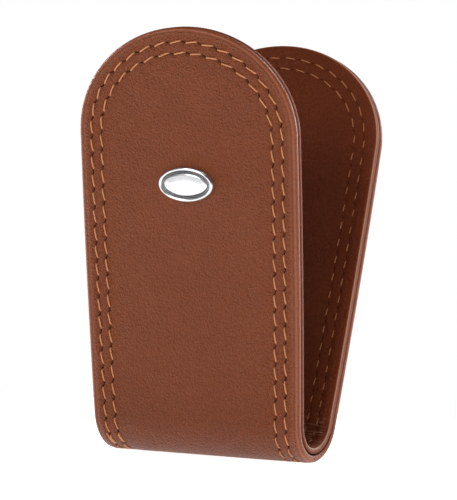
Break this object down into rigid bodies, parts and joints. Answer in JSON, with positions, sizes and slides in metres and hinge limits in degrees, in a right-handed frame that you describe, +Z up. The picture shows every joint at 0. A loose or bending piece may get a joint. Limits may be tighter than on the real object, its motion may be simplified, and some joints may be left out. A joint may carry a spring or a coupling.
{
  "type": "leather money clip",
  "caption": "Folded leather money clip: two tongue-shaped leaves joined by a rounded fold, turned and double-stitched edges, hidden magnets and a plain oval badge.",
  "frame": {"origin": "middle of the lowest line of the fold, under the middle of the bounding box, with the clip standing on its fold", "axes": "+X along the fold, +Y from the front leaf to the back leaf, +Z up towards the rounded tips"},
  "size_m": [0.05, 0.049, 0.0874],
  "materials": {
    "outer_leather": "smooth semi-matt full-grain leather, saddle brown",
    "lining_leather": "smooth semi-matt lining leather, same brown",
    "thread": "waxed tan sewing thread",
    "leatherboard": "raw bonded leather fibre board",
    "foam": "thin padding foam",
    "magnet": "nickel-plated magnet",
    "badge_metal": "polished nickel plate"
  },
  "bodies": {
    "fold": {"outer_leather_fold": "outer_leather", "lining_fold": "lining_leather", "interlining_fold": "leatherboard", "needle_outer_row_fold_left": "thread", "needle_outer_row_fold_right": "thread", "bobbin_outer_row_fold_left": "thread", "bobbin_outer_row_fold_right": "thread", "needle_inner_row_fold_left": "thread", "needle_inner_row_fold_right": "thread", "bobbin_inner_row_fold_left": "thread", "bobbin_inner_row_fold_right": "thread"},
    "front_leaf": {"outer_leather_front": "outer_leather", "lining_front": "lining_leather", "stiffener_front": "leatherboard", "foam_pad_front": "foam", "magnet_front": "magnet", "needle_outer_row_front": "thread", "bobbin_outer_row_front": "thread", "needle_inner_row_front": "thread", "bobbin_inner_row_front": "thread", "badge": "badge_metal", "badge_washer_left": "badge_metal", "badge_washer_right": "badge_metal"},
    "back_leaf": {"outer_leather_back": "outer_leather", "lining_back": "lining_leather", "stiffener_back": "leatherboard", "foam_pad_back": "foam", "magnet_back": "magnet", "needle_outer_row_back": "thread", "bobbin_outer_row_back": "thread", "needle_inner_row_back": "thread", "bobbin_inner_row_back": "thread"}
  },
  "joints": [
    {"name": "front_leaf_hinge", "type": "hinge", "parent": "fold", "child": "front_leaf", "pos_m": [0, -0.00571, 0.00205], "axis": [1, 0, 0], "range_deg": [-13.9, 78.8], "stiffness_Nm_per_rad": 0.15},
    {"name": "back_leaf_hinge", "type": "hinge", "parent": "fold", "child": "back_leaf", "pos_m": [0, 0.00571, 0.00205], "axis": [-1, 0, 0], "range_deg": [-13.9, 78.8], "stiffness_Nm_per_rad": 0.15}
  ],
  "couplings": [
    {"joint": "front_leaf_hinge", "follows": "back_leaf_hinge", "ratio": 1}
  ]
}
